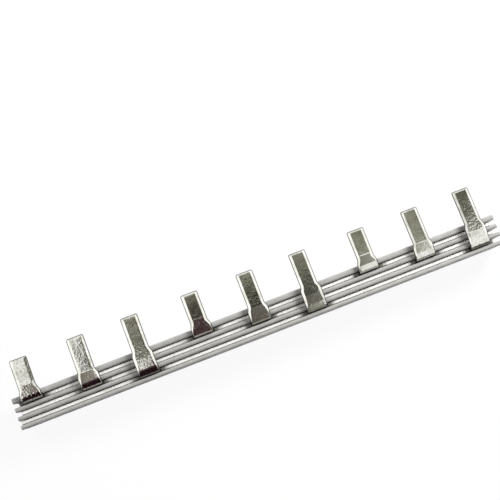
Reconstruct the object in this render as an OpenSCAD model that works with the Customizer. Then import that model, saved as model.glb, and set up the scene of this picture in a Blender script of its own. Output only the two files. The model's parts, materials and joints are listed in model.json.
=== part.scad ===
// Three-phase comb busbar: three stamped combs standing on edge in the three
// channels of one extruded insulating profile. Their pins are bent over the
// front wall and end on one line, ready to be clamped in a row of breakers.
//
// Frame: X runs along the bar, +Y is the way the pins point, +Z looks out of
// the open side. The origin is the middle of the profile's back face.

/* [Pins] */
// Spacing of neighbouring pins, one breaker width
pin_pitch = 17.8; // [14:0.1:27]
// Pins on each comb
pins_per_comb = 3; // [1:1:6]
// Width of a blade
blade_w = 5.3; // [3.5:0.1:6]
// Width of a pin where it leaves its strip
root_w = 6.4; // [6.2:0.1:8]
// Reach of the blade tips past the front wall
tip_reach = 10.35; // [8:0.05:16]
// Straight length of the first comb's blades
blade_len_1 = 8.8; // [6:0.1:9]
// Straight length of the second comb's blades
blade_len_2 = 10.2; // [6:0.1:11]
// Straight length of the third comb's blades
blade_len_3 = 10.2; // [6:0.1:13]
// Length over which a pin narrows from root to blade
shoulder_len = 2.1; // [1.2:0.1:3]
// Corner radius of a blade's tip, seen from above
tip_corner_r = 0.7; // [0.3:0.1:1.5]

/* [Bends] */
// Outer radius of the bend above the strip
bend_r = 2.2; // [2:0.1:3]
// Depth of the bend's start below the tops of the walls
bend_sink = 0.3; // [0.1:0.05:0.3]
// Slope of the ramp between the bend and the blade, in degrees
ramp_slope = 12; // [4:1:20]
// From a pin's root to the crease where its blade starts
crease_reach = 5.4; // [4.6:0.1:7]
// Inner radius of the crease
crease_r = 1.2; // [0.5:0.1:2]

/* [Sheet] */
// Thickness of the comb sheet
sheet_t = 1.0; // [0.8:0.1:1.2]
// Height of a strip
strip_h = 9; // [6:0.5:14]
// Width of the rounding along a pin's edges
edge_w = 1.0; // [0.2:0.05:1.2]
// Depth of that rounding, above and below
edge_t = 0.34; // [0.1:0.02:0.38]
// Fillet between a pin's root and its strip
root_fillet = 0.6; // [0.3:0.1:1]

/* [Profile] */
// Thickness of the front wall, which the pins pass over
front_wall_t = 1.65; // [1:0.05:2]
// Thickness of the rear wall
rear_wall_t = 1.25; // [1:0.05:2]
// Thickness of the two walls between the channels
inner_wall_t = 1.3; // [1:0.05:2]
// Width of each of the three channels
channel_w = 1.35; // [1.35:0.05:1.8]
// Thickness of the closed back
back_t = 1.5; // [1:0.1:3]
// Depth of the strips below the tops of the walls
recess = 0.9; // [0.5:0.1:2]
// Length of the profile past the middle of the outer pins
end_margin = 6; // [5:0.5:12]
// Corner radius on top of the walls
wall_top_r = 0.35; // [0.1:0.05:0.45]
// Corner radius along the back
back_corner_r = 0.8; // [0.2:0.1:1.2]

/* [Fit] */
// Clearance between a strip and the wall that it leans on
lean_gap = 0.1; // [0.02:0.01:0.15]
// Shortness of each strip at either end of the profile
strip_setback = 1.5; // [1.3:0.1:2]
// Slide of the first comb along its channel
slide_1 = 0; // [-1.2:0.05:1.2]
// Slide of the second comb along its channel
slide_2 = -0.25; // [-1.2:0.05:1.2]
// Slide of the third comb along its channel
slide_3 = -1.15; // [-1.2:0.05:1.2]

/* [Hidden] */
$fn = 48;
COMBS = 3;
WALLS = COMBS + 1;

slides = [slide_1, slide_2, slide_3];
blade_lens = [blade_len_1, blade_len_2, blade_len_3];

pin_count = COMBS * pins_per_comb;
profile_l = (pin_count - 1) * pin_pitch + 2 * end_margin;
strip_l = profile_l - 2 * strip_setback;
slot_pitch = inner_wall_t + channel_w;
profile_w = front_wall_t + rear_wall_t + channel_w + (COMBS - 1) * slot_pitch;
profile_h = back_t + strip_h + recess;
front_y = profile_w / 2;
tip_y = front_y + tip_reach;
strip_top = back_t + strip_h;

// A pin's outer face, seen from the side: up its root, round the bend, along
// the ramp and over the crease onto the level blade. y counts from the root.
bend_z = profile_h - bend_sink;
bend_turn = 90 - ramp_slope;
crease_out_r = crease_r + sheet_t;
ramp_y = bend_r * (1 - cos(bend_turn));
ramp_z = bend_z + bend_r * sin(bend_turn);
crease_y = crease_reach - crease_out_r * sin(ramp_slope);
crease_z = ramp_z + (crease_y - ramp_y) * tan(ramp_slope);
blade_top = crease_z + crease_out_r * (1 - cos(ramp_slope));

// The fillet at a root ends where the bend starts, at the latest.
fillet_r = min(root_fillet, bend_z - strip_top);
// Depth over which a root is merged into its strip.
root_embed = 1;
// Stations nearer to each other than this become one.
station_gap = 0.02;
// Half of the flat left between a section's rounded edges, at the least.
flat_min = 0.1;
// Steps of the pin's curves: edges, fillet, bend, crease, shoulders and tip.
EDGE_STEPS = 3;
FILLET_STEPS = 3;
BEND_STEPS = 7;
CREASE_STEPS = 2;
SHOULDER_STEPS = 6;
TIP_STEPS = 3;

// Outer face of the roots on comb k; comb 0 stands behind the front wall.
function root_y(k) = front_y - front_wall_t - channel_w - k * slot_pitch
                   + lean_gap;
// Rear face and thickness of each wall, from the rear one to the front one.
function wall_y(n) = n == 0 ? -front_y
                   : rear_wall_t + channel_w + (n - 1) * slot_pitch - front_y;
function wall_t(n) = n == 0 ? rear_wall_t
                   : n == WALLS - 1 ? front_wall_t : inner_wall_t;
// Middle of pin i on comb k.
function pin_x(k, i) = (i * COMBS + k - (pin_count - 1) / 2) * pin_pitch
                     + slides[k];

// Slope and height of the outer face past the bend, on the ramp and beyond.
function slope_at(y) =
    y <= crease_y ? ramp_slope
    : y >= crease_reach ? 0
    : asin((crease_reach - y) / crease_out_r);
function height_at(y) =
    y <= crease_y ? ramp_z + (y - ramp_y) * tan(ramp_slope)
    : blade_top - crease_out_r * (1 - cos(slope_at(y)));

// Width past the bend: a cosine wave narrows the root to the blade.
function width_at(y, y_blade) =
    let (part = (y_blade - y) / shoulder_len)
    y >= y_blade ? blade_w
    : part >= 1 ? root_w
    : blade_w + (root_w - blade_w) * (1 - cos(180 * part)) / 2;

// Values in rising order, without those that fall together.
function sorted(v) = len(v) < 2 ? v : let (
        rest = [for (i = [1 : len(v) - 1]) v[i]]
    ) concat(sorted([for (x = rest) if (x < v[0]) x]), [v[0]],
             sorted([for (x = rest) if (x >= v[0]) x]));
function spaced(v) = [
    for (i = [0 : len(v) - 1])
        if (i == 0 || v[i] - v[i - 1] > station_gap) v[i]
];

// Stations along a pin: [y, z, slope, width, thickness].
function root_stations() = concat(
    [[0, strip_top - root_embed, 90, root_w + 2 * fillet_r, sheet_t]],
    [for (i = [0 : FILLET_STEPS])
        let (a = 90 * i / FILLET_STEPS)
        [0, strip_top + fillet_r * (1 - cos(a)), 90,
         root_w + 2 * fillet_r * (1 - sin(a)), sheet_t]],
    bend_z - strip_top - fillet_r < station_gap ? []
    : [[0, bend_z, 90, root_w, sheet_t]]
);
function bend_stations(y_blade) = [
    for (i = [1 : BEND_STEPS])
        let (a = bend_turn * i / BEND_STEPS, y = bend_r * (1 - cos(a)))
        [y, bend_z + bend_r * sin(a), 90 - a, width_at(y, y_blade), sheet_t]
];
function blade_stations(y_blade) =
    let (
        creases = [for (i = [0 : CREASE_STEPS])
            crease_y + (crease_reach - crease_y) * i / CREASE_STEPS],
        shoulders = [for (i = [0 : SHOULDER_STEPS])
            y_blade - shoulder_len * (1 - i / SHOULDER_STEPS)],
        ys = spaced(sorted(concat([ramp_y], creases, shoulders)))
    )
    [for (y = ys)
        if (y > ramp_y + station_gap)
            [y, height_at(y), slope_at(y), width_at(y, y_blade), sheet_t]];
function tip_stations(y_tip) = [
    for (i = [0 : TIP_STEPS])
        let (
            a = 90 * i / TIP_STEPS,
            thin = edge_t * (1 - cos(a))
        )
        [y_tip - tip_corner_r * (1 - sin(a)), blade_top - thin, 0,
         blade_w - 2 * tip_corner_r * (1 - cos(a)), sheet_t - 2 * thin]
];

// Section at one station, rounded along both edges. A quarter of an ellipse
// rounds each corner: across from the side, then down from the outer face.
function section(s) =
    let (
        round_w = min(edge_w, s[3] / 2 - flat_min),
        x = s[3] / 2 - round_w,
        d = s[4] / 2,
        low = edge_t * s[4] / sheet_t,
        corner = [for (i = [0 : EDGE_STEPS])
            let (a = 90 * i / EDGE_STEPS)
            [x + round_w * cos(a), d - low + low * sin(a)]],
        upper = [for (i = [EDGE_STEPS : -1 : 0]) corner[i]],
        right = concat([for (p = upper) [p[0], d - p[1]]],
                       [for (p = corner) [p[0], d + p[1]]]),
        left = [for (i = [len(right) - 1 : -1 : 0]) [-right[i][0], right[i][1]]]
    )
    [for (p = concat(right, left))
        [p[0], s[0] + p[1] * sin(s[2]), s[1] - p[1] * cos(s[2])]];

// Solid through a row of sections with equal numbers of points.
module loft(sections) {
    n = len(sections[0]);
    last = len(sections) - 1;
    sides = [
        for (r = [0 : last - 1], i = [0 : n - 1])
            let (j = (i + 1) % n)
            [r * n + j, r * n + i, (r + 1) * n + i, (r + 1) * n + j]
    ];
    start = [for (i = [0 : n - 1]) i];
    end = [for (i = [n - 1 : -1 : 0]) last * n + i];
    polyhedron([for (s = sections) each s], concat(sides, [start, end]));
}

// One pin, its root's outer face on y = 0 and its tip at y_tip.
module pin(blade_len, y_tip) {
    y_blade = y_tip - blade_len;
    stations = concat(root_stations(), bend_stations(y_blade),
                      blade_stations(y_blade), tip_stations(y_tip));
    loft([for (s = stations) section(s)]);
}

// Strip of a comb, standing on the floor of its channel.
module strip() {
    top_bevel = sheet_t / 10;
    translate([-strip_l / 2, 0, back_t])
        rotate([90, 0, 90])
            linear_extrude(strip_l)
                polygon([
                    [0, 0], [sheet_t, 0], [sheet_t, strip_h - top_bevel],
                    [sheet_t - top_bevel, strip_h], [top_bevel, strip_h],
                    [0, strip_h - top_bevel]
                ]);
}

// Comb k: one stamped and bent sheet, strip and pins in one piece.
module comb(k) {
    color("gainsboro")
        translate([0, root_y(k), 0]) {
            translate([slides[k], 0, 0])
                strip();
            for (i = [0 : pins_per_comb - 1])
                translate([pin_x(k, i), 0, 0])
                    pin(blade_lens[k], tip_y - root_y(k));
        }
}

module comb_l1() {
    comb(0);
}

module comb_l2() {
    comb(1);
}

module comb_l3() {
    comb(2);
}

// One wall of the profile, rounded along both edges of its top.
module wall_section(thickness) {
    square([thickness, profile_h - wall_top_r]);
    translate([wall_top_r, 0])
        square([thickness - 2 * wall_top_r, profile_h]);
    for (y = [wall_top_r, thickness - wall_top_r])
        translate([y, profile_h - wall_top_r])
            circle(wall_top_r);
}

// Section of the profile: closed back, four walls and three channels.
module profile_section() {
    difference() {
        translate([-profile_w / 2, 0])
            square([profile_w, back_t]);
        for (side = [-1, 1])
            translate([side * profile_w / 2, 0])
                difference() {
                    square(2 * back_corner_r, center = true);
                    translate([-side * back_corner_r, back_corner_r])
                        circle(back_corner_r);
                }
    }
    intersection() {
        for (n = [0 : WALLS - 1])
            translate([wall_y(n), 0])
                wall_section(wall_t(n));
        translate([-profile_w / 2, back_t])
            square([profile_w, profile_h]);
    }
}

module insulating_profile() {
    color("darkgray")
        translate([-profile_l / 2, 0, 0])
            rotate([90, 0, 90])
                linear_extrude(profile_l)
                    profile_section();
}

insulating_profile();
comb_l1();
comb_l2();
comb_l3();
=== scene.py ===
# %% [markdown]
# # Comb busbar
# A comb busbar feeds a row of circuit breakers. Three flat copper combs stand on edge in the three
# channels of one extruded plastic profile. Their pins bend forward over the front wall, so that
# breaker after breaker is clamped to phase one, two and three in turn.
#
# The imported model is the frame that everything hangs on. Every place comes from it, in metres. Most
# sizes below repeat the ones that the solids were made with, and where one differs the text says so.

# %% Load the frame
import json
import math

import bpy
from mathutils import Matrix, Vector


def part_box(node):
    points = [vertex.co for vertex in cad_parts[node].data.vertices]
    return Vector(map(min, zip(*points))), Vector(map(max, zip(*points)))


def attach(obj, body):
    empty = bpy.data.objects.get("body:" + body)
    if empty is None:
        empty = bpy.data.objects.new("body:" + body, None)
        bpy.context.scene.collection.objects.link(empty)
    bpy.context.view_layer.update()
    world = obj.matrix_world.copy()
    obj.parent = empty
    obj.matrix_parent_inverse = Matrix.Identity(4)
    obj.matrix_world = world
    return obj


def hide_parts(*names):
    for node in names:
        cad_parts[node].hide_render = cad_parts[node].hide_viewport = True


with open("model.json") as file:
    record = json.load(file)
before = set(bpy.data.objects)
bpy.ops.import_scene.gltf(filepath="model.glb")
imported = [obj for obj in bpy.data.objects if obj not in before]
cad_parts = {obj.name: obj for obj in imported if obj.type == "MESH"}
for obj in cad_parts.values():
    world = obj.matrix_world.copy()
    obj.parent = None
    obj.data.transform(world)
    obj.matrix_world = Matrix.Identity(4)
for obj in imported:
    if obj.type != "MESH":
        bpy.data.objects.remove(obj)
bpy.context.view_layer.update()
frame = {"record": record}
MM = 0.001


# %% [markdown]
# ## Camera
# The bar is seen nearly from above, turned so that it climbs from the lower left to the upper right.
# The camera stands close, a hand and a half above the bar, with a short tele lens. So the left pins
# show their left flanks, the right ones their right flanks, and the near parts come out larger.

# %% Camera
# The turn is in degrees round x, y and z, and the lens in mm.
CAMERA_PLACE = (-15.9 * MM, -12.1 * MM, 280.4 * MM)
CAMERA_TURN = (8.048, -1.447, -21.164)
LENS = 64.8

camera_data = bpy.data.cameras.new("studio_camera")
camera_data.lens = LENS
camera_data.clip_start = 10 * MM
camera = bpy.data.objects.new("studio_camera", camera_data)
camera.location = CAMERA_PLACE
camera.rotation_euler = [math.radians(angle) for angle in CAMERA_TURN]
bpy.context.scene.collection.objects.link(camera)
bpy.context.scene.camera = camera
bpy.context.scene.view_settings.view_transform = "Standard"

print("Camera height above the table in mm:", round(camera.location.z / MM, 1))


# %% [markdown]
# ## Colours and nodes
# Colours are written as sRGB hex values, the way a paint or screen chart gives them, while shaders
# count in linear light. One function turns the first into the second. Another one adds a node with
# its settings, its fixed values and its links, so that a material reads from top to bottom.

# %% Colour and node helpers
def linear(hex_colour):
    """Turn an sRGB hex colour into the linear one that shaders use."""
    values = [int(hex_colour[i:i + 2], 16) / 255 for i in (1, 3, 5)]
    light = [v / 12.92 if v <= 0.04045 else ((v + 0.055) / 1.055) ** 2.4 for v in values]
    return (*light, 1.0)


def add_node(tree, kind, settings=None, inputs=None, links=None):
    """Add one node, with its settings, its fixed inputs and its links from other nodes' outputs."""
    node = tree.nodes.new(kind)
    for name, value in (settings or {}).items():
        setattr(node, name, value)
    for name, value in (inputs or {}).items():
        node.inputs[name].default_value = value
    for name, output in (links or {}).items():
        tree.links.new(output, node.inputs[name])
    return node


def start_material(name):
    """Make a material with an empty node tree."""
    material = bpy.data.materials.new(name)
    material.use_nodes = True
    material.node_tree.nodes.clear()
    return material, material.node_tree


print("Middle grey in linear light:", round(linear("#808080")[0], 3))


# %% [markdown]
# ## The white tent
# Small shiny parts are usually set in a tent of white cloth, lit from outside. The world plays that
# tent. To the camera and to anything that mirrors it, it is plain white. As a light it is weak,
# because the softboxes do that work and a strong tent would wash out the narrow channels.

# %% World
TENT_LIGHT = 0.16

world = bpy.data.worlds.new("studio_tent")
bpy.context.scene.world = world
world.use_nodes = True
tree = world.node_tree
tree.nodes.clear()
path = add_node(tree, "ShaderNodeLightPath")
seen = add_node(tree, "ShaderNodeMath", {"operation": "MAXIMUM"}, {},
                {0: path.outputs["Is Camera Ray"], 1: path.outputs["Is Glossy Ray"]})
seen_too = add_node(tree, "ShaderNodeMath", {"operation": "MAXIMUM"}, {},
                    {0: seen.outputs[0], 1: path.outputs["Is Transmission Ray"]})
lighting = add_node(tree, "ShaderNodeBackground", {},
                    {"Color": linear("#FFFFFF"), "Strength": TENT_LIGHT})
backdrop = add_node(tree, "ShaderNodeBackground", {}, {"Color": linear("#FFFFFF"), "Strength": 1.0})
tent = add_node(tree, "ShaderNodeMixShader", {}, {},
                {0: seen_too.outputs[0], 1: lighting.outputs[0], 2: backdrop.outputs[0]})
add_node(tree, "ShaderNodeOutputWorld", {}, {}, {"Surface": tent.outputs[0]})

print("Tent: white to look at, lighting at", TENT_LIGHT)


# %% [markdown]
# ## What the part mirrors
# Bright tin shows little colour of its own: it is drawn by what stands around it. A studio shapes it
# with cards, and so do the next cells. The cards glow in one tone each and are there for mirroring
# alone: they light nothing, throw no shadow and the camera doesn't see them. Their places and tones
# were tuned for this one view, some of them for a single pin. Seen from elsewhere, the pins
# mirror other cards and look different.
#
# In the studio, front means towards low y, the lower side of the picture. The part's own front wall is
# on the other side, because its pins point away from the studio's front.

# %% Object and card helpers
def make_object(name, points, faces, materials):
    """Make an object from points and faces, with its materials, and put it in the scene."""
    mesh = bpy.data.meshes.new(name)
    mesh.from_pydata(points, [], faces)
    for material in materials:
        mesh.materials.append(material)
    made = bpy.data.objects.new(name, mesh)
    bpy.context.scene.collection.objects.link(made)
    return made


def make_card(name, corners, tone, strength=1.0):
    """Make a card of one tone between corners in mm, there only for what mirrors it."""
    material, tree = start_material(name)
    glow = add_node(tree, "ShaderNodeEmission", {}, {"Color": linear(tone), "Strength": strength})
    add_node(tree, "ShaderNodeOutputMaterial", {}, {}, {"Surface": glow.outputs[0]})
    points = [[v * MM for v in corner] for corner in corners]
    card = make_object(name, points, [tuple(range(len(corners)))], [material])
    card.visible_camera = False
    card.visible_diffuse = False
    card.visible_shadow = False
    card.visible_transmission = False


def rectangle(x_low, x_high, y_low, y_high):
    """Four corners of a level rectangle."""
    return [(x_low, y_low), (x_high, y_low), (x_high, y_high), (x_low, y_high)]


print("A card's corners go round like this:", rectangle(0, 2, 0, 1))


# %% [markdown]
# ## Level cards
# The ceiling cards hang a little higher than the camera and fill the level blades with quiet greys. The
# darker cards around the lens play the camera and its stand. The ramp cards hang further to the front
# and fill the short ramps below the blades. The cards on the table are what the lowest part of each
# bend mirrors. Where cards overlap they hang in layers, because what is mirrored is the lowest one.

# %% Level cards
CEILING = 300
STAND_BACK = 294
STAND = 292
LENS_RING = 290
TABLE = 0.4

level_cards = [
    ("ceiling_far_left", CEILING, "#3C3C36", [(-112, 14), (-72, 14), (-72, 140), (-78, 140), (-84, 45)]),
    ("ceiling_left", CEILING, "#7C7D70", rectangle(-72, -5, 2, 32)),
    ("ceiling_left_back", CEILING, "#B0B0A2", rectangle(-72, -5, 32, 140)),
    ("ceiling_middle", CEILING, "#8B8B7E", rectangle(-5, 68, 18, 140)),
    ("ceiling_right", CEILING, "#88887A", rectangle(68, 104, 18, 140)),
    ("ceiling_right_end", CEILING, "#9A9A8C", rectangle(104, 138, 12, 140)),
    ("ceiling_end", CEILING, "#64655A", [(138, 12), (230, 32), (230, 140), (138, 140)]),
    ("stand_back", STAND_BACK, "#7E7B70", rectangle(-48, -2, 38, 75)),
    ("stand_back_low", STAND_BACK, "#45423C", rectangle(-48, -2, 30, 38)),
    ("stand_left", STAND, "#1C1715", rectangle(-48, -2, -60, 30)),
    ("stand_middle", STAND, "#2E2C2A", rectangle(-2, 32, -60, 30)),
    ("stand_right", STAND, "#4A4944", rectangle(32, 68, -60, 30)),
    ("lens_ring", LENS_RING, "#B9B7AC", rectangle(-48, -6, -30, 8)),
    ("ramp_card_2", CEILING, "#857F78", rectangle(-150, -78, -150, -62)),
    ("ramp_card_4", STAND, "#452E33", rectangle(-48, -2, -260, -60)),
    ("ramp_card_5", STAND, "#6E6C66", rectangle(-2, 32, -260, -60)),
    ("ramp_card_6", STAND, "#74726B", rectangle(32, 68, -260, -60)),
    ("ramp_card_7", CEILING, "#8E8E86", rectangle(70, 104, -150, -62)),
    ("ramp_card_8", CEILING, "#B4B4AA", rectangle(104, 138, -150, -62)),
    ("table_left", TABLE, "#22151A", rectangle(-190, -2, -300, -8)),
    ("table_middle", TABLE, "#80807A", [(-2, -300), (54, -300), (27, -8), (-2, -8)]),
    ("table_right", TABLE, "#403E37", [(54, -300), (600, -300), (600, -8), (27, -8)]),
]
for name, height, tone, corners in level_cards:
    make_card(name, [(x, y, height) for x, y in corners], tone)

print("Level cards:", len(level_cards))


# %% [markdown]
# ## Standing cards
# A row of boards stands upright at the front. The upper part of the bends of pins 1 to 6 mirrors it,
# darkest at the left. Two bright side cards lean in from both ends of the bar and light up the bevels.

# %% Boards and side cards
BOARD_Y = -300
BOARD_SPLIT = 330
BOARD_TOP = 560
SIDE_END = 300
SIDE_LOW = 60
SIDE_HIGH = 420
SIDE_STRENGTH = 1.35

boards = [
    ("board_left", "#22151A", rectangle(-190, -38, 0, BOARD_SPLIT)),
    ("board_left_top", "#5E4E50", rectangle(-190, -38, BOARD_SPLIT, BOARD_TOP)),
    ("board_pin_4", "#4A363A", rectangle(-38, -2, 0, BOARD_TOP)),
    ("board_pin_5", "#6A6460", rectangle(-2, 35, 0, BOARD_TOP)),
    ("board_pin_6", "#9A9A90", [(35, 0), (75, 0), (85, BOARD_TOP), (35, BOARD_TOP)]),
]
for name, tone, corners in boards:
    make_card(name, [(x, BOARD_Y, z) for x, z in corners], tone)

side_cards = [("side_left", -420, -300), ("side_right", 460, 340)]
for name, foot, head in side_cards:
    make_card(name, [(foot, -SIDE_END, SIDE_LOW), (foot, SIDE_END, SIDE_LOW),
                     (head, SIDE_END, SIDE_HIGH), (head, -SIDE_END, SIDE_HIGH)],
              "#FFFFFF", SIDE_STRENGTH)

print("Standing cards:", len(boards) + len(side_cards))


# %% [markdown]
# ## Lamps
# Two softboxes stand behind the bar, the nearer one at its right end, and a weak one fills in from the
# front right. Area lamps give soft shadows, which show that the strips lie deep in their channels. They
# are left out of what the part mirrors, because the cards above already draw the gloss.

# %% Lamps
def make_lamp(name, centre, size, power):
    """Make a square softbox of the given edge and power, aimed at the middle of the bar."""
    data = bpy.data.lights.new(name, "AREA")
    data.size = size
    data.energy = power
    lamp = bpy.data.objects.new(name, data)
    lamp.location = centre
    lamp.rotation_euler = Vector(centre).to_track_quat("Z", "Y").to_euler()
    bpy.context.scene.collection.objects.link(lamp)
    lamp.visible_glossy = False
    print(name, "stands", round(Vector(centre).length / MM), "mm off")


make_lamp("softbox_right", (0.30, 0.22, 0.27), 0.20, 2.9)
make_lamp("softbox_left", (-0.24, 0.34, 0.40), 0.30, 1.15)
make_lamp("softbox_front", (0.30, -0.24, 0.22), 0.15, 0.45)


# %% [markdown]
# ## Floor
# The bar lies on white sweep paper. A large plane with a white matte surface takes the shadow. Most of
# what the camera and the gloss see of it is plain white, by a share of white glow that counts for those
# rays only, so the paper stays nearly as white as the tent without more light on the bar.

# %% Floor
FLOOR_SIDE = 3.0
FLOOR_DROP = 0.02 * MM
WHITE_SHARE = 0.92

floor_paper, tree = start_material("white_sweep_paper")
path = add_node(tree, "ShaderNodeLightPath")
seen = add_node(tree, "ShaderNodeMath", {"operation": "MAXIMUM"}, {},
                {0: path.outputs["Is Camera Ray"], 1: path.outputs["Is Glossy Ray"]})
share = add_node(tree, "ShaderNodeMath", {"operation": "MULTIPLY"}, {1: WHITE_SHARE}, {0: seen.outputs[0]})
paper = add_node(tree, "ShaderNodeBsdfDiffuse", {}, {"Color": linear("#F4F4F4")})
glow = add_node(tree, "ShaderNodeEmission", {}, {"Color": linear("#FFFFFF"), "Strength": 1.0})
mixed = add_node(tree, "ShaderNodeMixShader", {}, {},
                 {0: share.outputs[0], 1: paper.outputs[0], 2: glow.outputs[0]})
add_node(tree, "ShaderNodeOutputMaterial", {}, {}, {"Surface": mixed.outputs[0]})

half = FLOOR_SIDE / 2
floor_points = [(x, y, 0) for x, y in rectangle(-half, half, -half, half)]
floor = make_object("floor", floor_points, [(0, 1, 2, 3)], [floor_paper])
floor.location.z = -FLOOR_DROP

print("Floor side in m:", FLOOR_SIDE)


# %% [markdown]
# ## The sheet of a comb
# A comb is punched from copper sheet 1 mm thick, bent and tin plated. Its strip stands on edge, and
# each pin grows out of it, bends forward through 78 degrees, climbs a short ramp and levels out over a
# crease into the blade. Here are the sizes, and the places that follow from them.
#
# The bend is drawn softer than the solid's (3.2 instead of 2.2 mm), because its dark band looked too
# narrow. It is tangent to the same ramp, so the crease and the blade stay where the solid has them.

# %% Sizes of the combs
SHEET_T = 1.0 * MM
BLADE_W = 5.3 * MM
ROOT_W = 6.4 * MM
SHOULDER_LEN = 2.1 * MM
BLADE_LENS = [8.8 * MM, 10.2 * MM, 10.2 * MM]
BEND_R = 2.2 * MM
SOFT_BEND_R = 3.2 * MM
BEND_SINK = 0.3 * MM
RAMP_SLOPE = math.radians(12)
CREASE_REACH = 5.4 * MM
CREASE_R = 2.2 * MM
ROOT_FILLET = 0.6 * MM
ROOT_EMBED = 1.0 * MM
RECESS = 0.9 * MM
PINS_PER_COMB = 3

combs = ["comb_l1", "comb_l2", "comb_l3"]
profile_low, profile_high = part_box("insulating_profile")
strip_top = profile_high.z - RECESS
bend_turn = math.pi / 2 - RAMP_SLOPE
ramp_rise = math.tan(RAMP_SLOPE)
ramp_y = BEND_R * (1 - math.cos(bend_turn))
ramp_z = profile_high.z - BEND_SINK + BEND_R * math.sin(bend_turn)
soft_y = SOFT_BEND_R * (1 - math.cos(bend_turn))
soft_z = ramp_z + (soft_y - ramp_y) * ramp_rise - SOFT_BEND_R * math.sin(bend_turn)
crease_y = CREASE_REACH - CREASE_R * math.sin(RAMP_SLOPE)
crease_z = ramp_z + (crease_y - ramp_y) * ramp_rise
blade_top = crease_z + CREASE_R * (1 - math.cos(RAMP_SLOPE))

mounts = {mount["name"]: mount for mount in frame["record"]["mounts"]}
pin_count = PINS_PER_COMB * len(combs)
pin_x = [mounts[f"blade_{n}"]["pos_m"][0] for n in range(1, pin_count + 1)]

print("Blade tops in mm:", round(blade_top / MM, 3), round(mounts["blade_1"]["pos_m"][2] / MM, 3))
print("Pins in mm:", [round(x / MM, 2) for x in pin_x])


# %% [markdown]
# ## Stations along a pin
# A pin could be a bent plane with a solidify modifier, but its width and its edges change on the way.
# So it is a loft: a list of stations runs along the pin's outer face, and each one says where it is, how
# steep the sheet is there, and how wide and thick. Many small steps keep the mirror image in the plating
# smooth, and at the tip the sheet thins out over a short bevel. The tip's corners are a little sharper
# than the solid's (0.45 instead of 0.7 mm).

# %% Stations
TIP_CORNER_R = 0.45 * MM
TIP_BEVEL = 0.6 * MM
TIP_DEPTH = 0.22 * MM
TIP_ROUND = 0.12 * MM
BEND_STEPS = 48
RAMP_STEPS = 8
CREASE_STEPS = 10
TIP_STEPS = 10
BLADE_STEP = 0.35 * MM


def width_at(y, y_blade):
    """Width of a pin at reach y: a cosine wave narrows the root to the blade."""
    part = min(1, max(0, (y_blade - y) / SHOULDER_LEN))
    return BLADE_W + (ROOT_W - BLADE_W) * (1 - math.cos(math.pi * part)) / 2


def fillet_at(z):
    """Extra width of each side of a pin at height z, where it grows out of its strip."""
    rest = ROOT_FILLET - min(ROOT_FILLET, max(0.0, z - strip_top))
    return ROOT_FILLET - math.sqrt(ROOT_FILLET**2 - rest**2)


def pin_stations(y_tip, blade_len):
    """Stations (y, z, slope, width, thickness) of a pin, y counted from its root's outer face."""
    y_blade = y_tip - blade_len
    blade_end = y_tip - TIP_CORNER_R
    stations = [(0, strip_top - ROOT_EMBED, math.pi / 2, ROOT_W + 2 * ROOT_FILLET, SHEET_T)]
    for i in range(BEND_STEPS + 1):
        a = bend_turn * i / BEND_STEPS
        y = SOFT_BEND_R * (1 - math.cos(a))
        z = soft_z + SOFT_BEND_R * math.sin(a)
        stations.append((y, z, math.pi / 2 - a, width_at(y, y_blade) + 2 * fillet_at(z), SHEET_T))
    for i in range(1, RAMP_STEPS):
        y = soft_y + (crease_y - soft_y) * i / RAMP_STEPS
        stations.append((y, ramp_z + (y - ramp_y) * ramp_rise, RAMP_SLOPE, width_at(y, y_blade), SHEET_T))
    for i in range(CREASE_STEPS + 1):
        y = crease_y + (CREASE_REACH - crease_y) * i / CREASE_STEPS
        slope = math.asin((CREASE_REACH - y) / CREASE_R)
        z = blade_top - CREASE_R * (1 - math.cos(slope))
        stations.append((y, z, slope, width_at(y, y_blade), SHEET_T))
    blade_steps = round((blade_end - CREASE_REACH) / BLADE_STEP)
    for i in range(1, blade_steps):
        y = CREASE_REACH + (blade_end - CREASE_REACH) * i / blade_steps
        stations.append((y, blade_top, 0, width_at(y, y_blade), SHEET_T))
    for i in range(TIP_STEPS + 1):
        a = math.pi / 2 * i / TIP_STEPS
        back = TIP_CORNER_R * (1 - math.sin(a))
        thin = TIP_DEPTH * max(0.0, 1 - back / TIP_BEVEL) + TIP_ROUND * max(0.0, 1 - back / TIP_ROUND)**2
        stations.append((y_tip - back, blade_top - thin, 0,
                         BLADE_W - 2 * TIP_CORNER_R * (1 - math.cos(a)), SHEET_T - 2 * thin))
    return stations


low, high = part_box("comb_l3")
print("Stations of a long pin:", len(pin_stations(high.y - low.y, BLADE_LENS[2])))


# %% [markdown]
# ## The coined edge
# The long edges of a pin look coined: a bevel of 27 degrees over most of its width runs along both
# faces, 1 mm wide on the blade and narrower towards the bend. It makes the bright outline of each pin,
# because it mirrors the side of the studio instead of its ceiling. It is steeper than the solid's
# rounding for that reason alone. A section is built from that bevel four times over, once for each
# long edge of the sheet.

# %% Coined section
EDGE_W = 1.0 * MM
BEVEL_SLOPE = math.radians(27)
BEVEL_FROM = 0.6 * MM
BEVEL_TO = 4.5 * MM
BEVEL_LEAST = 0.3
FLAT_STEPS = 6
ROUND_STEPS = 5
# Places across the bevel as a share of its width from the side, and the share of the slope there.
BEVEL_CURVE = [(0.98, 0.00), (0.94, 0.20), (0.90, 0.55), (0.85, 0.90), (0.78, 1.0), (0.60, 1.0),
               (0.42, 1.0), (0.28, 1.05), (0.18, 1.2)]


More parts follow.
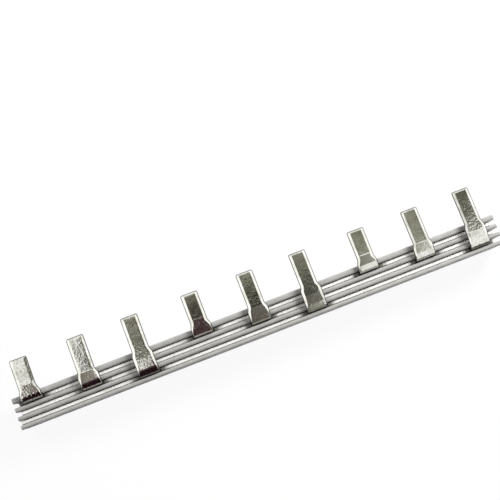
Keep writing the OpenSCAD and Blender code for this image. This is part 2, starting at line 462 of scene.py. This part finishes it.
def bevel_points():
    """Points (distance from the side, depth) down one bevel to the middle of the sheet."""
    steps = [(EDGE_W, 0.0)]
    depth = 0.0
    for (x0, s0), (x1, s1) in zip(BEVEL_CURVE, BEVEL_CURVE[1:]):
        depth += (x0 - x1) * EDGE_W * math.tan(BEVEL_SLOPE * (s0 + s1) / 2)
        steps.append((x1 * EDGE_W, depth))
    last_x, last_depth = steps[-1]
    rest = SHEET_T / 2 - last_depth
    for i in range(1, ROUND_STEPS + 1):
        a = math.pi / 2 * i / ROUND_STEPS
        steps.append((last_x * (1 - math.sin(a)), last_depth + rest * (1 - math.cos(a))))
    return steps


def pin_section(station):
    """Points of the section at one station, once round the sheet."""
    y, z, slope, width, thick = station
    shrink = thick / SHEET_T
    share = max(0.0, min(1.0, (y - BEVEL_FROM) / (BEVEL_TO - BEVEL_FROM)))
    wide = BEVEL_LEAST + (1 - BEVEL_LEAST) * share * share * (3 - 2 * share)
    flat = width / 2 - EDGE_W * wide
    corner = [(width / 2 - x * wide, depth * shrink) for x, depth in bevel]
    top = [(flat * (2 * i / FLAT_STEPS - 1), 0) for i in range(1, FLAT_STEPS)]
    right = corner + [(x, thick - depth) for x, depth in reversed(corner[:-1])]
    bottom = [(-x, thick) for x, _ in top]
    left = [(-x, depth) for x, depth in reversed(right)]
    return [(x, y + depth * math.sin(slope), z - depth * math.cos(slope))
            for x, depth in top + right + bottom + left]


bevel = bevel_points()
print("Bevel in mm:", [(round(x / MM, 2), round(depth / MM, 3)) for x, depth in bevel])


# %% [markdown]
# ## Lofting
# A loft joins each section to the next with a ring of four-sided faces and closes both ends with one
# face each. The same two helpers serve the pins, the strips and the profile. Shading is smooth, apart
# from edges that are really sharp.

# %% Loft and piece helpers
SHARP_FROM = math.radians(35)


def add_loft(points, faces, sections):
    """Append a closed loft through sections of equal length to lists of points and faces."""
    start = len(points)
    count = len(sections[0])
    for section in sections:
        points.extend(section)
    for row in range(len(sections) - 1):
        for i in range(count):
            j = (i + 1) % count
            a = start + row * count
            b = a + count
            faces.append((a + i, a + j, b + j, b + i))
    faces.append(tuple(start + i for i in reversed(range(count))))
    faces.append(tuple(start + (len(sections) - 1) * count + i for i in range(count)))


def make_piece(name, points, faces, materials):
    """Make a smoothly shaded piece of the part."""
    piece = make_object(name, points, faces, materials)
    piece.data.shade_smooth()
    piece.data.set_sharp_from_angle(angle=SHARP_FROM)
    print(name, "has", len(points), "points and", len(faces), "faces")
    return piece


wedge_points, wedge_faces = [], []
add_loft(wedge_points, wedge_faces, [[(x, 0, 0), (x, 1, 0), (x, 0, 1)] for x in range(4)])
print("A wedge lofted through four triangles has", len(wedge_faces), "faces")


# %% [markdown]
# ## Bright tin plating
# The pins are electroplated with bright tin over copper: a warm, slightly yellowish mirror. Three
# things break it up. The rolled sheet swells in waves about 3 mm long. The plating has an orange peel
# with fine crystal spangle and darker specks, stronger on some pins than on others, as a point attribute
# says. And along the sheared edges and at the foot of each bend the tin is dull, as the attribute rim
# says, and its colour is darkened there: a painted dark reflection along the edges and painted shade
# at the foot of each bend. Here are the patterns that the next cells draw on.

# %% Patterns of the tin
SWELL_SIZE = 3.0 * MM
# Real orange peel is some tenths of a millimetre from hump to hump. It is drawn about twice as coarse,
# so that it shows.
PEEL_SIZE = 0.67 * MM
SPANGLE_SIZE = 0.59 * MM

bright_tin, tree = start_material("bright_tin_plating")
place = add_node(tree, "ShaderNodeTexCoord")
rim = add_node(tree, "ShaderNodeAttribute", {"attribute_name": "rim"})
wear = add_node(tree, "ShaderNodeAttribute", {"attribute_name": "wear"})
swell = add_node(tree, "ShaderNodeTexNoise", {}, {"Scale": 1 / SWELL_SIZE, "Detail": 2, "Roughness": 0.5},
                 {"Vector": place.outputs["Object"]})
peel = add_node(tree, "ShaderNodeTexNoise", {}, {"Scale": 1 / PEEL_SIZE, "Detail": 3, "Roughness": 0.6},
                {"Vector": place.outputs["Object"]})
spangle = add_node(tree, "ShaderNodeTexVoronoi", {"feature": "SMOOTH_F1"},
                   {"Scale": 1 / SPANGLE_SIZE, "Smoothness": 0.4, "Randomness": 1.0},
                   {"Vector": place.outputs["Object"]})

print("Tin patterns in mm:", [round(size / MM, 2) for size in (SWELL_SIZE, PEEL_SIZE, SPANGLE_SIZE)])


# %% [markdown]
# ## Gloss of the tin
# The roughness is that of a fairly sharp mirror and varies with the peel. The smooth pins get a softer
# one than the mottled pins, and the rim is quite dull.

# %% Gloss of the tin
PEEL_GLOSS = {"From Min": 0.35, "From Max": 0.7, "To Min": 0.06, "To Max": 0.16}
RIM_ROUGHNESS = 0.5

gloss = add_node(tree, "ShaderNodeMapRange", {}, PEEL_GLOSS, {"Value": peel.outputs[0]})
softness = add_node(tree, "ShaderNodeMath", {"operation": "MULTIPLY_ADD"}, {1: -0.5, 2: 1.2},
                    {0: wear.outputs["Fac"]})
softened = add_node(tree, "ShaderNodeMath", {"operation": "MULTIPLY"}, {},
                    {0: gloss.outputs[0], 1: softness.outputs[0]})
dulled = add_node(tree, "ShaderNodeMix", {}, {"B": RIM_ROUGHNESS},
                  {"Factor": rim.outputs["Fac"], "A": softened.outputs[0]})

print("Roughness from", PEEL_GLOSS["To Min"], "to", PEEL_GLOSS["To Max"], "and", RIM_ROUGHNESS, "on the rim")


# %% [markdown]
# ## Colour of the tin
# The tin lies between two warm whites and is darker in the specks. It is darkest on the rim, where a
# painted dark reflection runs along the edges and painted shade lies at the foot of each bend. Bump
# alone would do for the peel, but with the specks in the colour too they stay visible where nothing
# around is there to mirror.

# %% Colour of the tin
SPECK_STRENGTH = {"From Min": 0.47, "From Max": 0.60, "To Min": 0.0, "To Max": 0.40}


def set_stops(ramp, stops):
    """Give a colour ramp its two stops, each one a position and a colour."""
    for element, (position, tone) in zip(ramp.color_ramp.elements, stops):
        element.position = position
        element.color = linear(tone)


tint = add_node(tree, "ShaderNodeValToRGB", {}, {}, {"Fac": swell.outputs[0]})
set_stops(tint, [(0.35, "#D5D4CA"), (0.65, "#F1F0EA")])
specks = add_node(tree, "ShaderNodeMapRange", {}, SPECK_STRENGTH, {"Value": peel.outputs[0]})
speck_share = add_node(tree, "ShaderNodeMath", {"operation": "MULTIPLY"}, {},
                       {0: specks.outputs[0], 1: wear.outputs["Fac"]})
speckled = add_node(tree, "ShaderNodeMix", {"data_type": "RGBA"}, {7: linear("#6A685E")},
                    {0: speck_share.outputs[0], 6: tint.outputs[0]})
# On the rim the colour goes to a dark grey: a painted dark reflection along the edges and painted shade at
# the foot of each bend.
rim_painted_shade = add_node(tree, "ShaderNodeMix", {"data_type": "RGBA"}, {7: linear("#4E4B46")},
                  {0: rim.outputs["Fac"], 6: speckled.outputs[2]})

print("Specks cover up to", SPECK_STRENGTH["To Max"], "of the tin's colour")


# %% [markdown]
# ## Relief of the tin
# The swell is on every pin and grows with its wear. The spangle and the peel lie on top of it
# and follow the wear alone. Then everything goes into one metallic shader.

# %% Relief of the tin
SWELL_DEPTH = 0.25 * MM
SPANGLE_DEPTH = 0.06 * MM
PEEL_DEPTH = 0.07 * MM

swell_force = add_node(tree, "ShaderNodeMath", {"operation": "MULTIPLY_ADD"}, {1: 0.14, 2: 0.08},
                       {0: wear.outputs["Fac"]})
peel_force = add_node(tree, "ShaderNodeMath", {"operation": "MULTIPLY"}, {1: 0.45},
                      {0: wear.outputs["Fac"]})
swelling = add_node(tree, "ShaderNodeBump", {}, {"Distance": SWELL_DEPTH},
                    {"Height": swell.outputs[0], "Strength": swell_force.outputs[0]})
facets = add_node(tree, "ShaderNodeBump", {}, {"Distance": SPANGLE_DEPTH},
                  {"Height": spangle.outputs[0], "Strength": peel_force.outputs[0],
                   "Normal": swelling.outputs[0]})
dimples = add_node(tree, "ShaderNodeBump", {}, {"Distance": PEEL_DEPTH},
                   {"Height": peel.outputs[0], "Strength": peel_force.outputs[0],
                    "Normal": facets.outputs[0]})
tin = add_node(tree, "ShaderNodeBsdfPrincipled", {}, {"Metallic": 1.0},
               {"Base Color": rim_painted_shade.outputs[2], "Roughness": dulled.outputs[0],
                "Normal": dimples.outputs[0]})
add_node(tree, "ShaderNodeOutputMaterial", {}, {}, {"Surface": tin.outputs[0]})

print(bright_tin.name, "has", len(tree.nodes), "nodes")


# %% [markdown]
# ## Satin tin on the strips
# What shows of a strip is its upper edge, where the sheet was sheared before it was plated. Tin over
# such a torn edge is not a mirror: it scatters like white satin, with streaks across the strip. The eye
# reads it as nearly white, so most of it is a matte white here and only a tenth is metal. Near each pin
# the colour turns grey: a painted dark reflection of the pins in the strip's edge.

# %% Satin tin
STREAK_SIZE = 0.56 * MM
STREAK_STRETCH = 5
PATCH_SIZE = 6.2 * MM
STREAK_DEPTH = 0.06 * MM

satin_tin, tree = start_material("satin_tin_on_sheared_edge")
place = add_node(tree, "ShaderNodeTexCoord")
wear = add_node(tree, "ShaderNodeAttribute", {"attribute_name": "wear"})
across = add_node(tree, "ShaderNodeMapping", {}, {"Scale": (1, 1 / STREAK_STRETCH, 1 / STREAK_STRETCH)},
                  {"Vector": place.outputs["Object"]})
streaks = add_node(tree, "ShaderNodeTexNoise", {}, {"Scale": 1 / STREAK_SIZE, "Detail": 3},
                   {"Vector": across.outputs[0]})
patches = add_node(tree, "ShaderNodeTexNoise", {}, {"Scale": 1 / PATCH_SIZE, "Detail": 3},
                   {"Vector": place.outputs["Object"]})
tint = add_node(tree, "ShaderNodeValToRGB", {}, {}, {"Fac": patches.outputs[0]})
set_stops(tint, [(0.30, "#EAE8E1"), (0.55, "#FFFEFB")])
# Near each pin the attribute brings in a grey, a painted dark reflection of the pins in the strip's edge.
ragged = add_node(tree, "ShaderNodeMath", {"operation": "MULTIPLY_ADD"}, {1: 0.6},
                  {0: streaks.outputs[0], 2: wear.outputs["Fac"]})
painted_reflection = add_node(tree, "ShaderNodeMapRange", {},
                 {"From Min": 0.45, "From Max": 0.85, "To Min": 0.0, "To Max": 0.9},
                 {"Value": ragged.outputs[0]})
with_painted_reflection = add_node(tree, "ShaderNodeMix", {"data_type": "RGBA"}, {7: linear("#57534A")},
                   {0: painted_reflection.outputs[0], 6: tint.outputs[0]})
relief = add_node(tree, "ShaderNodeBump", {}, {"Strength": 0.3, "Distance": STREAK_DEPTH},
                  {"Height": streaks.outputs[0]})
satin = add_node(tree, "ShaderNodeBsdfPrincipled", {}, {"Metallic": 0.1, "Roughness": 0.38},
                 {"Base Color": with_painted_reflection.outputs[2], "Normal": relief.outputs[0]})
add_node(tree, "ShaderNodeOutputMaterial", {}, {}, {"Surface": satin.outputs[0]})

print(satin_tin.name, "has", len(tree.nodes), "nodes")


# %% [markdown]
# ## Strips
# A strip is a plain flat bar on edge. Only its top is worth modelling: shearing rolls one long edge
# over and leaves the other nearly sharp. The rolled side faces the wall that the strip stands close to,
# and leaves a faint line between metal and plastic. The strip is a loft along the bar with many short
# steps, so that the painted reflection near the pins has points to be written on.

# %% Strip sections
STRIP_STEPS = 150
CORNER_STEPS = 6
BACK_T = 1.5 * MM
CRISP_R = 0.06 * MM
ROLL_W = 0.20 * MM
ROLL_H = 0.60 * MM


def arc(y, z, ry, rz, start, end, steps):
    """Points of an elliptical arc round (y, z), from one angle to another in degrees."""
    turns = [math.radians(start + (end - start) * i / steps) for i in range(steps + 1)]
    return [(y + ry * math.cos(a), z + rz * math.sin(a)) for a in turns]


def strip_sections(y, x_low, x_high):
    """Sections along a strip that stands on the channels' floor with its outer face at y."""
    foot = profile_low.z + BACK_T
    outline = [(y, foot), (y + SHEET_T, foot)]
    outline += arc(y + SHEET_T - CRISP_R, strip_top - CRISP_R, CRISP_R, CRISP_R, 0, 90, CORNER_STEPS)
    outline += arc(y + ROLL_W, strip_top - ROLL_H, ROLL_W, ROLL_H, 90, 180, CORNER_STEPS)
    places = [x_low + (x_high - x_low) * i / STRIP_STEPS for i in range(STRIP_STEPS + 1)]
    return [[(x, py, pz) for py, pz in outline] for x in places]


print("Strip height in mm:", round((strip_top - profile_low.z - BACK_T) / MM, 2))


# %% [markdown]
# ## Rim, mottling and painted reflection
# Two numbers are written on every point of a comb and read by the materials. The rim starts 0.28 mm
# from the edge of the sheet, and 1.8 mm above the strip at the foot of each bend, and is full at half
# of that; it dulls the tin, and its colour carries a painted dark reflection at the edges and painted
# shade at the foot. The second number says how strongly a pin is mottled, and on a strip how much
# painted dark reflection of the pins there is: the coined bevels stay nearly smooth, and the painted
# reflection fades over a few millimetres beside a pin.

# %% Rim, mottling and painted reflection
RIM = 0.28 * MM
FOOT = 1.8 * MM
FADE = 0.5
BEVEL_WEAR = 0.15
WEAR_INSET = 0.1
PAINTED_REFLECTION_REACH = 1.8 * MM
PIN_WEAR = [0.9, 0.5, 0.75, 0.08, 0.45, 0.3, 0.1, 0.35, 0.55]


def clamp(value):
    """Hold a value between 0 and 1."""
    return max(0.0, min(1.0, value))


def rim_at(point, station, y_tip):
    """How much of the dull rim, with its painted shade, a point of the section has, from 0 to 1."""
    side = station[3] / 2 - abs(point[0])
    edge = (RIM - min(side, y_tip - point[1])) / (FADE * RIM)
    foot = (FOOT - point[2] + strip_top) / (FADE * FOOT)
    return clamp(max(edge, foot))


def wear_at(point, station):
    """What share of its pin's mottling a point of the section has."""
    side = station[3] / 2 - abs(point[0])
    return BEVEL_WEAR + (1 - BEVEL_WEAR) * clamp(side / EDGE_W - WEAR_INSET)


def painted_reflection_at(x, roots):
    """How much painted dark reflection a strip has at x, from the pins that grow out of it."""
    gaps = [max(0.0, abs(x - root) - ROOT_W / 2) for root in roots]
    return min(1.0, sum(math.exp(-gap / PAINTED_REFLECTION_REACH) for gap in gaps))


# The share of painted dark reflection 3 mm beside a pin.
print("Stain 3 mm beside a pin:", round(painted_reflection_at(ROOT_W / 2 + 3 * MM, [0.0]), 2))


# %% [markdown]
# ## Combs
# Each comb is one piece: its strip, then its three pins, each at the place that the record gives for
# it. The strip's faces take the satin tin and the pins' faces the bright one. The piece replaces the
# comb's solid in the picture.

# %% Combs
for k, comb in enumerate(combs):
    low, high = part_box(comb)
    y_tip = high.y - low.y
    pins = range(k, pin_count, len(combs))
    points, faces = [], []
    add_loft(points, faces, strip_sections(low.y, low.x, high.x))
    strip_faces = len(faces)
    rims = [0.0] * len(points)
    # On the strip the second attribute holds the painted dark reflection of its pins.
    mottle_and_reflection_values = [painted_reflection_at(point[0], [pin_x[n] for n in pins]) for point in points]
    for n in pins:
        sections = []
        for station in pin_stations(y_tip, BLADE_LENS[k]):
            section = pin_section(station)
            rims += [rim_at(point, station, y_tip) for point in section]
            mottle_and_reflection_values += [PIN_WEAR[n] * wear_at(point, station) for point in section]
            sections.append([(pin_x[n] + x, low.y + y, z) for x, y, z in section])
        add_loft(points, faces, sections)
    piece = make_piece(f"{comb}_tinned", points, faces, [bright_tin, satin_tin])
    for face in piece.data.polygons[:strip_faces]:
        face.material_index = 1
    for name, values in (("rim", rims), ("wear", mottle_and_reflection_values)):
        attribute = piece.data.attributes.new(name, "FLOAT", "POINT")
        attribute.data.foreach_set("value", values)
    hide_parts(comb)
    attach(piece, "root")


# %% [markdown]
# ## Extruded PVC
# The profile is rigid PVC, pushed hot through a steel die. That leaves a half-matte grey skin with
# very fine lines along the bar, from scratches in the die, and a faint clouding of the pigment. PVC is
# a plain plastic, with an IOR of 1.53 and a roughness of 0.5.

# %% Extruded PVC
# Real die lines are finer. They are drawn 0.2 mm apart, so that they show.
DIE_LINE_SIZE = 0.2 * MM
DIE_LINE_STRETCH = 50
CLOUD_SIZE = 3.8 * MM
DIE_LINE_DEPTH = 0.03 * MM
PVC_IOR = 1.53

grey_pvc, tree = start_material("extruded_grey_pvc")
place = add_node(tree, "ShaderNodeTexCoord")
along = add_node(tree, "ShaderNodeMapping", {}, {"Scale": (1 / DIE_LINE_STRETCH, 1, 1)},
                 {"Vector": place.outputs["Object"]})
die_lines = add_node(tree, "ShaderNodeTexNoise", {}, {"Scale": 1 / DIE_LINE_SIZE, "Detail": 3},
                     {"Vector": along.outputs[0]})
clouds = add_node(tree, "ShaderNodeTexNoise", {}, {"Scale": 1 / CLOUD_SIZE, "Detail": 5},
                  {"Vector": place.outputs["Object"]})
tint = add_node(tree, "ShaderNodeValToRGB", {}, {}, {"Fac": clouds.outputs[0]})
set_stops(tint, [(0.3, "#9A9996"), (0.7, "#AAA9A6")])
relief = add_node(tree, "ShaderNodeBump", {}, {"Strength": 0.3, "Distance": DIE_LINE_DEPTH},
                  {"Height": die_lines.outputs[0]})
plastic = add_node(tree, "ShaderNodeBsdfPrincipled", {}, {"Roughness": 0.5, "IOR": PVC_IOR},
                   {"Base Color": tint.outputs[0], "Normal": relief.outputs[0]})
add_node(tree, "ShaderNodeOutputMaterial", {}, {}, {"Surface": plastic.outputs[0]})

print(grey_pvc.name, "has", len(tree.nodes), "nodes")


# %% [markdown]
# ## Sawn ends
# Such a bar is cut to length with a saw. The cut has no skin: it is rougher and uneven in tone, with
# parallel marks from the blade and crumbs of torn plastic between them. A wave texture gives the
# marks, and a fine noise gives the crumbs.

# %% Sawn PVC
# One turn of Blender's wave texture is about 0.31 of its scale's length.
WAVE_TURN = 0.314
SAW_MARK_SIZE = 0.45 * MM
CRUMB_SIZE = 0.25 * MM
SAW_MARK_DEPTH = 0.06 * MM
CRUMB_DEPTH = 0.04 * MM

sawn_pvc, tree = start_material("sawn_grey_pvc")
place = add_node(tree, "ShaderNodeTexCoord")
marks = add_node(tree, "ShaderNodeTexWave", {"wave_type": "BANDS", "bands_direction": "Y"},
                 {"Scale": WAVE_TURN / SAW_MARK_SIZE, "Distortion": 2.5, "Detail": 2},
                 {"Vector": place.outputs["Object"]})
crumbs = add_node(tree, "ShaderNodeTexNoise", {}, {"Scale": 1 / CRUMB_SIZE, "Detail": 3},
                  {"Vector": place.outputs["Object"]})
tint = add_node(tree, "ShaderNodeValToRGB", {}, {}, {"Fac": crumbs.outputs[0]})
set_stops(tint, [(0.0, "#8A8B8B"), (1.0, "#AEAFAF")])
ridges = add_node(tree, "ShaderNodeBump", {}, {"Strength": 0.5, "Distance": SAW_MARK_DEPTH},
                  {"Height": marks.outputs[0]})
torn = add_node(tree, "ShaderNodeBump", {}, {"Strength": 0.4, "Distance": CRUMB_DEPTH},
                {"Height": crumbs.outputs[0], "Normal": ridges.outputs[0]})
plastic = add_node(tree, "ShaderNodeBsdfPrincipled", {}, {"Roughness": 0.7, "IOR": PVC_IOR},
                   {"Base Color": tint.outputs[0], "Normal": torn.outputs[0]})
add_node(tree, "ShaderNodeOutputMaterial", {}, {}, {"Surface": plastic.outputs[0]})

print(sawn_pvc.name, "has", len(tree.nodes), "nodes")


# %% [markdown]
# ## The profile's section
# The section is a comb as well: a closed back with four walls and three open channels between them.
# The front wall is the thickest and the rear one the thinnest. The walls' tops are rounded more than
# in the solid (0.6 mm wide and 0.5 mm high instead of a radius of 0.35 mm), so that from above they
# shade like tubes, and small fillets run along the channels' floors.

# %% Section of the profile
FRONT_WALL = 1.65 * MM
REAR_WALL = 1.25 * MM
INNER_WALL = 1.3 * MM
CHANNEL_W = 1.35 * MM
BACK_CORNER_R = 0.8 * MM
TOP_ROUND_W = 0.6 * MM
TOP_ROUND_H = 0.5 * MM
FLOOR_FILLET = 0.15 * MM
ARC_STEPS = 8
FILLET_STEPS = 4


def profile_outline():
    """Outline of the profile's section in y and z, once round from its lower front corner."""
    walls = [(profile_high.y - FRONT_WALL, profile_high.y)]
    for _ in combs[1:]:
        outer = walls[-1][0] - CHANNEL_W
        walls.append((outer - INNER_WALL, outer))
    walls.append((profile_low.y, profile_low.y + REAR_WALL))
    fillet = FLOOR_FILLET
    floor_z = BACK_T + fillet
    round_z = profile_high.z - TOP_ROUND_H
    back_r = BACK_CORNER_R
    outline = arc(profile_high.y - back_r, back_r, back_r, back_r, -90, 0, ARC_STEPS)
    for n, (low_y, high_y) in enumerate(walls):
        if n > 0:
            outline += arc(high_y + fillet, floor_z, fillet, fillet, 270, 180, FILLET_STEPS)
        for y, start in ((high_y - TOP_ROUND_W, 0), (low_y + TOP_ROUND_W, 90)):
            outline += arc(y, round_z, TOP_ROUND_W, TOP_ROUND_H, start, start + 90, ARC_STEPS)
        if n < len(walls) - 1:
            outline += arc(low_y - fillet, floor_z, fillet, fillet, 0, -90, FILLET_STEPS)
    outline += arc(profile_low.y + back_r, back_r, back_r, back_r, 180, 270, ARC_STEPS)
    return outline


outline = profile_outline()
print("Profile outline:", len(outline), "points")


# %% [markdown]
# ## Profile
# The section is lofted along the bar. The two end faces come last in the loft, and they take the
# sawn finish while everything else takes the extruded one.

# %% Profile
PROFILE_STEPS = 120

length = profile_high.x - profile_low.x
places = [profile_low.x + length * i / PROFILE_STEPS for i in range(PROFILE_STEPS + 1)]
points, faces = [], []
add_loft(points, faces, [[(x, y, z) for y, z in outline] for x in places])
profile = make_piece("profile_extruded", points, faces, [grey_pvc, sawn_pvc])
for face in profile.data.polygons[-2:]:
    face.material_index = 1
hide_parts("insulating_profile")
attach(profile, "root")
